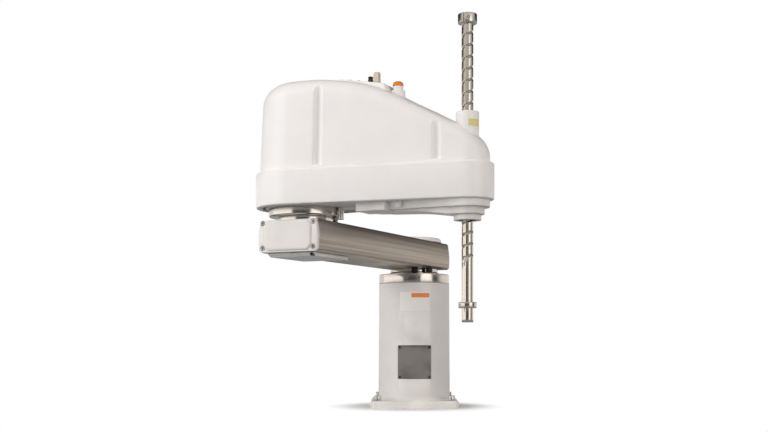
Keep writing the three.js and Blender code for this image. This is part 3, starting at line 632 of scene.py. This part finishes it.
def top_cover():
    """Rings of the cover: up the drafted wall, over the rounded shoulder, to the crest line."""
    places, x = [], 0.0
    while x < 0.985:
        near = any(abs(ARM_2_LENGTH * x - spot) < 24 for spot in FINE_AT)
        x += (FINE_STEP if near else PLAIN_STEP) / ARM_2_LENGTH
        places.append(x)
    outline = tapered(104, 48.8, ARM_2_LENGTH, places=places, arc=48)
    bottom, crown = 565.5, 13.0
    shoulder = [(-104, 40), (0, 36), (120, 29), (300, 25), (400, 19), (450, 16)]
    stations = []
    for centre, radius, a in outline:
        x = centre + radius * cos(a)
        bend = between(shoulder, x)
        inset = 0.0
        for _ in range(3):
            start = between(CREST, x - inset * cos(a)) - crown * (1 - inset / radius) ** 2 - bend
            inset = (start - bottom) * DRAFT / DRAFT_HEIGHT
        stations.append((centre, radius, a, bend, start, inset, groove_depth(centre, radius, a)))

    def ring(depth_of):
        points = []
        for station in stations:
            centre, radius, a, *_ = station
            inset, z = depth_of(station)
            r = max(0.0, radius - inset)
            points.append((centre + r * cos(a), r * sin(a), z))
        return points

    def roof(station, inset):
        centre, radius, a, bend, _, first, _ = station
        x = centre + max(0.0, radius - inset) * cos(a)
        past = inset - first
        drop = bend - sqrt(max(0.0, bend * bend - (bend - past) ** 2)) if past < bend else 0.0
        return between(CREST, x) - crown * (1 - inset / radius) ** 2 - drop

    def wall(share):
        def at(station):
            *_, start, first, sunk = station
            return first * share + sunk, bottom + (start - bottom) * share
        return at

    def climb(share):
        """The top of a sunk channel's back, from the shoulder's start up to the roof."""
        def at(station):
            *_, start, first, sunk = station
            top = roof(station, first + sunk) if sunk else start
            return first + sunk, start + (top - start) * share
        return at

    def over(share):
        def at(station):
            *_, bend, _, first, sunk = station
            inset = first + bend * (1 - cos(pi / 2 * share))
            inset = max(inset, first + sunk)
            return inset, roof(station, inset)
        return at

    def across(share):
        def at(station):
            _, radius, _, bend, _, first, _ = station
            inset = (first + bend) + (radius - first - bend) * share
            return inset, roof(station, inset)
        return at

    low = [(1.2, 0.0), (0.3, 0.3), (0.0, 1.2)]
    rings = [ring(lambda s, i=i, z=z: (i, bottom + z)) for i, z in low]
    rings += [ring(lambda s: (0.27, bottom + 5.5)), ring(lambda s: (0.30 + s[6] * 0.5, bottom + 6.2)),
              ring(lambda s: (0.34 + s[6], bottom + 7.0))]
    rings += [ring(wall(share)) for share in (0.3, 0.55, 0.8, 0.95, 1.0)]
    rings += [ring(climb(share)) for share in (0.5, 1.0)]
    rings += [ring(over(k / 14)) for k in range(1, 15)]
    rings += [ring(across(share)) for share in (0.12, 0.28, 0.46, 0.64, 0.82, 1.0)]
    points, faces = loft(rings)
    return points, faces[:-2]


def make_covers():
    cover = make("top_cover", top_cover(), "arm_2", "white_cover", ARM_2,
                 ["arm_2_top_cover"], sharp=50)
    shell = cover.modifiers.new("wall", "SOLIDIFY")
    shell.thickness, shell.offset = 3 * MM, -1
    outline = tapered(113, 57.5, ARM_2_LENGTH, arc=64, side=12)
    profile = eased([(14, 486.3, 0.5), (0, 486.3, 3.5), (0, 565.2, 6), (12, 565.2), (12, 561.2),
                     (4, 561.2), (4, 490.3), (14, 490.3, 0.5)], loop=True)
    skirt = loft([ring_at(outline, inset, z) for inset, z in profile], loop=True)
    make("skirt", skirt, "arm_2", "white_cover", ARM_2, ["arm_2_skirt"])
    sleeve = lathe([(17, 604), (24.75, 604), (24.75, 675, 1.8), (17, 675, 0.8)], 96, loop=True)
    make("sleeve", sleeve, "arm_2", "white_cover", SHAFT, ["shaft_sleeve"])
    make("sleeve_label", curved_label(24.75, -64, 12, 642, 657, 0.3), "arm_2", "label_yellow", SHAFT)


def plate_top(x):
    """The height of the roof plate's flat top, which is more level than the roof."""
    return 770.6 - 0.175 * (x - 100)


def roof_plate(half=28, corner=2.5):
    sections = []
    for x, fall in ((99.4, 3), (100, 1), (101.5, 0), (130, 0), (160, 0), (190, 0), (210, 0), (212.5, 0.7),
                    (215, 3.2), (218, 8), (218.6, 12)):
        top, under = plate_top(x) - fall, between(CREST, x) - 8
        section = [(-half, under), (half, under), (half, top - corner), (half - 0.8, top - 0.8),
                   (half - corner, top), (corner - half, top), (0.8 - half, top - 0.8),
                   (-half, top - corner)]
        sections.append((x, section))
    return along_x(sections)


def make_roof():
    def on_arm(x, y=0.0):
        return ARM_2 @ Matrix.Translation((x * MM, y * MM, 0))

    make("roof_pad", roof_plate(), "arm_2", "white_cover", ARM_2, ["roof_plate"], sharp=50)
    seat = lathe([(6, 716), (16.1, 716), (16.1, 736.3, 1), (11.4, 736.9, 0.5), (11.2, 746, 0.3),
                  (6, 746)], 64)
    make("lamp_seat", seat, "arm_2", "white_cover", on_arm(235.5), ["lamp_base"])
    dome = [(6, 746.3), (11.9, 746.3, 0.3), (11.9, 750.6, 2.4), (9.8, 754.8, 2.2), (5.5, 757, 2),
            (0.8, 757.4)]
    make("lamp_dome", lathe(dome, 64), "arm_2", "amber_lens", on_arm(235.5), ["lamp_lens"])
    socket = merged(block(-6.6, 6.6, -6.6, 6.6, 745, 778.8, 1.2, 0.8),
                    block(-4.4, 6.4, -5.6, 5.6, 777.8, 782.7, 1.5, 0.8))
    make("user_socket", socket, "arm_2", "beige_plastic", on_arm(183), ["user_connector"])
    fitting = lathe([(3, 750), (5.8, 750), (5.8, 768, 0.5), (4.8, 769), (4.8, 770.4), (5.5, 771.2, 0.3),
                     (5.5, 774, 1.2), (3, 775)], 32)
    make("air_port", fitting, "arm_2", "black_plastic", on_arm(167.4), ["air_fitting"])
    for i, x in enumerate((125.5, 146.8)):
        head = cap_screw(3.8, 2.2, 1.6, plate_top(x) - 0.6)
        make(f"roof_screw_{i + 1}", head, "arm_2", "bright_fasteners", on_arm(x, -18))


def make_underside():
    def keel_floor(x):
        depths = [(235, 466.5), (300, 464), (360, 456.5), (372, 455), (450, 455)]
        return between(depths, min(max(x, 236), 449))

    def level(outline, top, bottom, edge):
        steps = ((None, top), (0, top), (0, bottom + edge), (edge * 0.3, bottom + edge * 0.3),
                 (edge, bottom), (None, bottom))
        return loft([ring_at(outline, inset, z) for inset, z in steps])

    plate = level(tapered(92, 48.4, ARM_2_LENGTH, arc=48, side=4), 498, 486.8, 1.5)
    rib = level(tapered(44, 48.4, ARM_2_LENGTH, 205, arc=48, side=4), 487.5, 470, 2)
    keel_line = tapered(30, 37, ARM_2_LENGTH, 235, arc=40, side=24)
    keel = loft([ring_at(keel_line, 0, 471),
                 ring_at(keel_line, 0, lambda x: keel_floor(x) + 2),
                 ring_at(keel_line, 0.6, lambda x: keel_floor(x) + 0.6),
                 ring_at(keel_line, 2, keel_floor),
                 ring_at(keel_line, None, keel_floor)])
    pad = block(160, 232, -60, 8, 468, 487.5, 3, 2)
    bosses = [block(x0, x1, side * y - 4, side * y + 4, 473.6, 487.5, 1, 0.8)
              for side in (-1, 1) for x0, x1, y in ((253, 267, 48), (395, 408, 44))]
    make("frame_casting", merged(plate, rib, keel, pad, *bosses), "arm_2", "white_casting", ARM_2,
         ["arm_2_frame"], sharp=40)
    rim = lathe([(40, 467.3), (82, 467.3, 0.3), (84, 469.3, 0.3), (84, 486.3, 0.4), (40, 486.3)],
                192, loop=True)
    make("j2_bearing_rim", rim, "arm_2", "polished_steel", JOINT_2, ["j2_rim"])
    pin = lathe([(3, 459), (7, 459, 1.2), (7, 486.3), (3, 486.3)], 48)
    make("j2_pin", moved(pin, 92), "arm_2", "bright_fasteners", ARM_2, ["j2_stop_pin"])
    guard = lathe([(20, 442.7), (29.7, 442.7, 1.4), (29.7, 454.7, 0.8), (20, 454.7)], 96, loop=True)
    make("guard", guard, "arm_2", "white_casting", SHAFT, ["nut_guard"])


# ---- Shaft ----

LEAD = 25                          # height of one turn of the ball groove
BALL_GROOVE_HALF = 2.7
BALL_GROOVE_FROM, SPLINES_FROM, GROOVES_TO = 360, 250, 866
SPLINES = (-81.75, 38.25, 158.25)  # headings of the spline grooves


def grooved_shaft():
    """The hollow shaft, with the ball groove wound round its upper part and the spline grooves
    along it."""
    count, low, high, radius, bore = 144, 224.6, 886.6, 12.5, 9.0

    def bore_ring(z):
        return [(bore * cos(2 * pi * i / count), bore * sin(2 * pi * i / count), z)
                for i in range(count)]

    heights = [low, low + 0.4, low + 1.2]
    z = low + 6
    while z < 356:
        heights.append(z)
        z += 12
    while z < high - 2:
        heights.append(z)
        z += 1.15
    heights += [high - 1.2, high - 0.4, high]
    rings = [bore_ring(z) for z in (low + 8, low)]
    for z in heights:
        edge = 1.0 * max(0, 1 - (z - low) / 1.2, 1 - (high - z) / 1.2) ** 2
        ring = []
        for i in range(count):
            a = 2 * pi * i / count
            depth = edge
            spline = min(abs((a - radians(b) + pi) % (2 * pi) - pi) for b in SPLINES)
            if SPLINES_FROM < z < GROOVES_TO and spline < radians(17.5):
                depth = max(depth, 0.9)
            offset = (z + 5 - LEAD * a / (2 * pi) + LEAD / 2) % LEAD - LEAD / 2
            if BALL_GROOVE_FROM < z < GROOVES_TO and abs(offset) < BALL_GROOVE_HALF:
                depth = max(depth, 1.5 * (1 - (offset / BALL_GROOVE_HALF) ** 2))
            ring.append(((radius - depth) * cos(a), (radius - depth) * sin(a), z))
        rings.append(ring)
    rings += [bore_ring(z) for z in (high, high - 8)]
    return loft(rings, loop=True)


def clamp_collar(radius, bottom, top, bore=12.6):
    return lathe([(bore, bottom), (radius, bottom, 1.6), (radius, top, 1.6), (bore, top)], 96, loop=True)


def make_shaft():
    make("spline_shaft", grooved_shaft(), "shaft_unit", "polished_steel", SHAFT, ["shaft"], sharp=50)
    for name, node, radius, bottom, top, turn in (
            ("lower_collar", "lower_stop_collar", 19.75, 255.1, 267.9, -150),
            ("upper_collar", "upper_stop_collar", 20.5, 864, 884.2, -92)):
        collar = make(name, clamp_collar(radius, bottom, top), "shaft_unit", "polished_steel",
                      SHAFT, [node])
        carve_slit(collar, radius, bottom, top, turn)
        middle = (bottom + top) / 2
        way = Matrix.Rotation(radians(turn + 30), 4, "Z") @ Matrix.Translation((radius - 3.6, 0, middle))
        screw = turned_to(cap_screw(3, 3.8, 1.4), way @ Matrix.Rotation(radians(90), 4, "Y"))
        make(name + "_screw", screw, "shaft_unit", "dark_steel", SHAFT)


def carve_slit(collar, radius, bottom, top, turn):
    """The slit that lets a clamp collar close, cut at an angle from +X."""
    to_slit = (SHAFT @ Matrix.Rotation(radians(turn), 4, "Z")).inverted()
    collar.data.transform(to_slit)
    carve(collar, slot_box(8, radius + 5, -1, 1, bottom - 1, top + 1))
    collar.data.transform(to_slit.inverted())


make_base()
make_arm_1()
make_covers()
make_roof()
make_underside()
make_shaft()


# ---- CAD pieces that keep their own shape ----

KEPT = {
    "dark_steel": ["j1_reducer", "j2_reducer"],
    "machined_aluminium": ["j1_motor_plate", "drive_deck", "z_motor_pulley", "u_motor_pulley",
                           "screw_nut_pulley", "spline_pulley"],
    "motor_black": ["j1_motor", "j2_motor", "z_motor", "u_motor"],
    "black_rubber": ["z_belt", "u_belt", "shaft_wiper"],
    "polished_steel": ["screw_nut", "screw_nut_bearing", "spline_nut", "spline_nut_bearing"],
}
for slot, names in KEPT.items():
    for name in names:
        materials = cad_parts[name].data.materials
        materials.clear()
        materials.append(FINISHES[slot])
